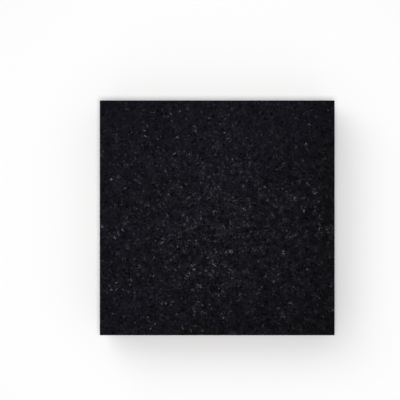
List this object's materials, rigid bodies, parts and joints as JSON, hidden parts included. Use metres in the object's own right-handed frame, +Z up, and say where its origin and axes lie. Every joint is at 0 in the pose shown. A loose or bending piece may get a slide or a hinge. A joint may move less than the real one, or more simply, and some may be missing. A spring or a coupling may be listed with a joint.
{
  "type": "flat no-lead chip package",
  "caption": "Small square black moulded chip package with two rows of plated pads and an exposed centre pad underneath, for soldering flat to a circuit board.",
  "frame": {"origin": "middle of the seating plane, under the centre of the exposed pad", "axes": "+X along the pad rows, +Y from the row of pin 1 to the other row, +Z up from the pads to the top face"},
  "size_m": [0.003, 0.003, 0.0008],
  "materials": {
    "mould_compound": "matte",
    "plated_metal": "matte",
    "silver_adhesive": "matte",
    "silicon": "polished",
    "gold": "polished"
  },
  "bodies": {
    "root": {"mould_body": "mould_compound", "die_paddle": "plated_metal", "die_attach": "silver_adhesive", "die": "silicon", "lead_01": "plated_metal", "lead_02": "plated_metal", "lead_03": "plated_metal", "lead_04": "plated_metal", "lead_05": "plated_metal", "lead_06": "plated_metal", "lead_07": "plated_metal", "lead_08": "plated_metal", "lead_09": "plated_metal", "lead_10": "plated_metal", "bond_wire_01": "gold", "bond_wire_02": "gold", "bond_wire_03": "gold", "bond_wire_04": "gold", "bond_wire_05": "gold", "bond_wire_06": "gold", "bond_wire_07": "gold", "bond_wire_08": "gold", "bond_wire_09": "gold", "bond_wire_10": "gold"}
  },
  "joints": []
}
